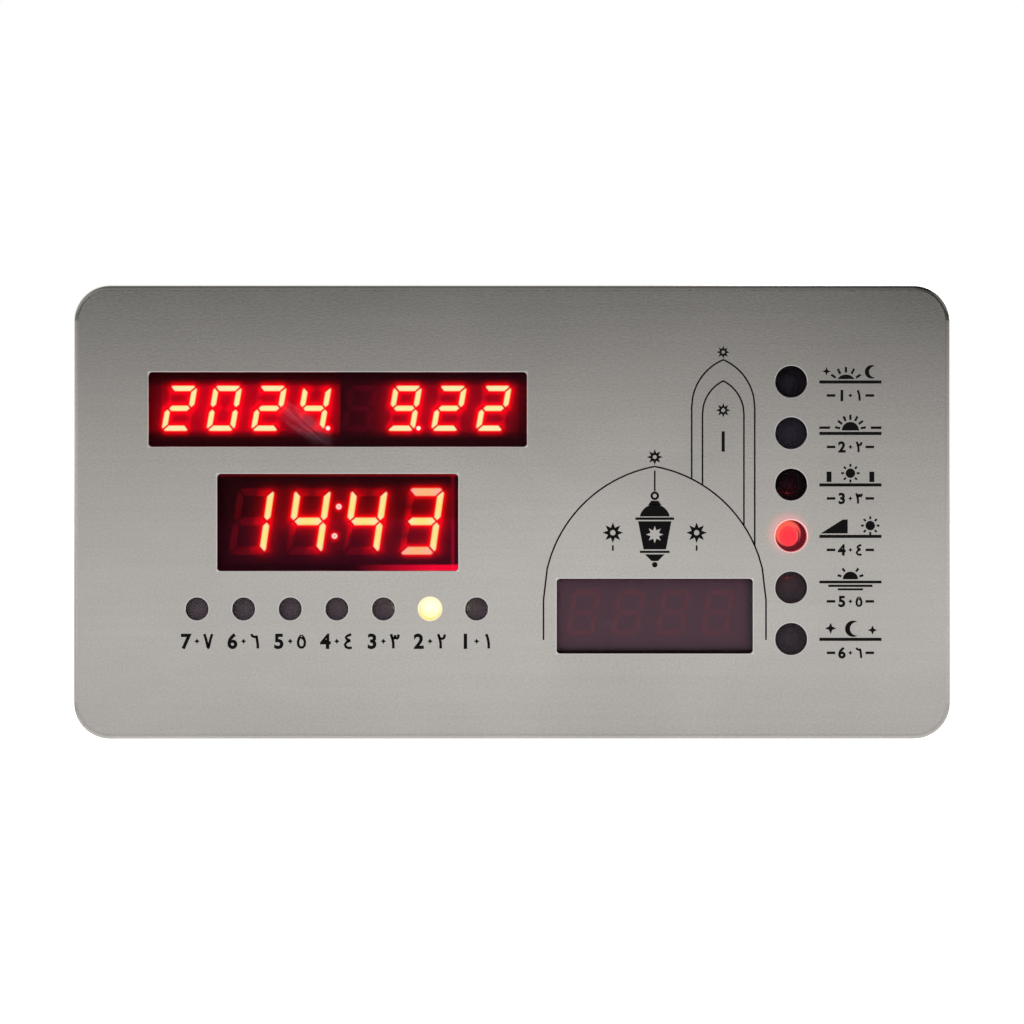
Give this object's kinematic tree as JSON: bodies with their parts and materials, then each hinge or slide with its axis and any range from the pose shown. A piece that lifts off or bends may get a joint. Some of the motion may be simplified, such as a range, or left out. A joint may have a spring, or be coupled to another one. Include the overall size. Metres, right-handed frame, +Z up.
{
  "type": "azan clock",
  "caption": "Wall-hung prayer-time clock: brushed steel face with digital date and time windows and lamp rows, in a shallow case.",
  "frame": {"origin": "middle of the flat rear face, where it rests against the wall", "axes": "+X to the right as the face is looked at, +Z up, +Y into the wall; the face looks along -Y"},
  "size_m": [0.195, 0.03, 0.101],
  "materials": {
    "steel_face": "horizontal brushed grain, satin",
    "zinc_hardware": "zinc plated",
    "smoked_acrylic": "smoked, glossy",
    "board_laminate": "green solder mask",
    "housing_plastic": "fine moulded texture",
    "display_case": "dark grey moulded face",
    "display_epoxy": "red diffusing epoxy",
    "red_lens": "red diffusing epoxy",
    "yellow_lens": "yellow diffusing epoxy",
    "tinned_wire": "tinned",
    "black_moulding": "matt moulded",
    "chip_moulding": "matt moulded",
    "crystal_can": "drawn nickel-plated can",
    "capacitor_sleeve": "shrunk sleeve",
    "resistor_film": "glazed",
    "cell_steel": "plain",
    "clip_steel": "plain spring steel",
    "jack_moulding": "moulded",
    "speaker_steel": "black coated",
    "magnet_ferrite": "ferrite",
    "cone_paper": "pressed paper",
    "surround_cloth": "treated cloth",
    "wire_insulation": "pvc insulation",
    "tag_laminate": "paper laminate",
    "socket_moulding": "natural nylon",
    "key_plastic": "moulded",
    "switch_moulding": "moulded"
  },
  "bodies": {
    "clock": {"front_plate": "steel_face", "weld_studs": "zinc_hardware", "smoked_filter": "smoked_acrylic", "front_standoffs": "zinc_hardware", "main_board": "board_laminate", "rear_standoffs": "zinc_hardware", "rear_housing": "housing_plastic", "case_screws": "zinc_hardware", "date_display_left": "display_case", "date_left_segments": "display_epoxy", "date_display_right": "display_case", "date_right_segments": "display_epoxy", "time_display": "display_case", "time_segments": "display_epoxy", "azan_display": "display_case", "azan_segments": "display_epoxy", "display_pins": "tinned_wire", "lamp_leads": "tinned_wire", "day_lamp_holder": "black_moulding", "prayer_lamp_holder": "black_moulding", "microcontroller": "chip_moulding", "display_drivers": "chip_moulding", "sound_memory": "chip_moulding", "audio_amplifier": "chip_moulding", "chip_leads": "tinned_wire", "voltage_regulator": "chip_moulding", "clock_crystal": "crystal_can", "capacitors": "capacitor_sleeve", "resistors": "resistor_film", "cell_holder": "black_moulding", "coin_cell": "cell_steel", "cell_clip": "clip_steel", "power_jack": "jack_moulding", "jack_pin": "tinned_wire", "key_switches": "switch_moulding", "speaker_frame": "speaker_steel", "speaker_magnet": "magnet_ferrite", "speaker_surround": "surround_cloth", "speaker_screws": "zinc_hardware", "speaker_tags": "tag_laminate", "speaker_socket": "socket_moulding", "speaker_wires": "wire_insulation", "day_lamp_1": "yellow_lens", "day_lamp_2": "yellow_lens", "day_lamp_3": "yellow_lens", "day_lamp_4": "yellow_lens", "day_lamp_5": "yellow_lens", "day_lamp_6": "yellow_lens", "day_lamp_7": "yellow_lens", "prayer_lamp_1": "red_lens", "prayer_lamp_2": "red_lens", "prayer_lamp_3": "red_lens", "prayer_lamp_4": "red_lens", "prayer_lamp_5": "red_lens", "prayer_lamp_6": "red_lens"},
    "set_key": {"set_key": "key_plastic"},
    "mode_key": {"mode_key": "key_plastic"},
    "up_key": {"up_key": "key_plastic"},
    "down_key": {"down_key": "key_plastic"},
    "speaker_cone": {"speaker_cone": "cone_paper"}
  },
  "joints": [
    {"name": "set_key_press", "type": "slide", "parent": "clock", "child": "set_key", "axis": [0, 0, 1], "range_m": [0, 0.0005], "stiffness_N_per_m": 400, "springref_m": -0.001},
    {"name": "mode_key_press", "type": "slide", "parent": "clock", "child": "mode_key", "axis": [0, 0, 1], "range_m": [0, 0.0005], "stiffness_N_per_m": 400, "springref_m": -0.001},
    {"name": "up_key_press", "type": "slide", "parent": "clock", "child": "up_key", "axis": [0, 0, 1], "range_m": [0, 0.0005], "stiffness_N_per_m": 400, "springref_m": -0.001},
    {"name": "down_key_press", "type": "slide", "parent": "clock", "child": "down_key", "axis": [0, 0, 1], "range_m": [0, 0.0005], "stiffness_N_per_m": 400, "springref_m": -0.001},
    {"name": "speaker_cone_stroke", "type": "slide", "parent": "clock", "child": "speaker_cone", "axis": [0, 1, 0], "range_m": [-0.0004, 0.0004], "stiffness_N_per_m": 800}
  ]
}
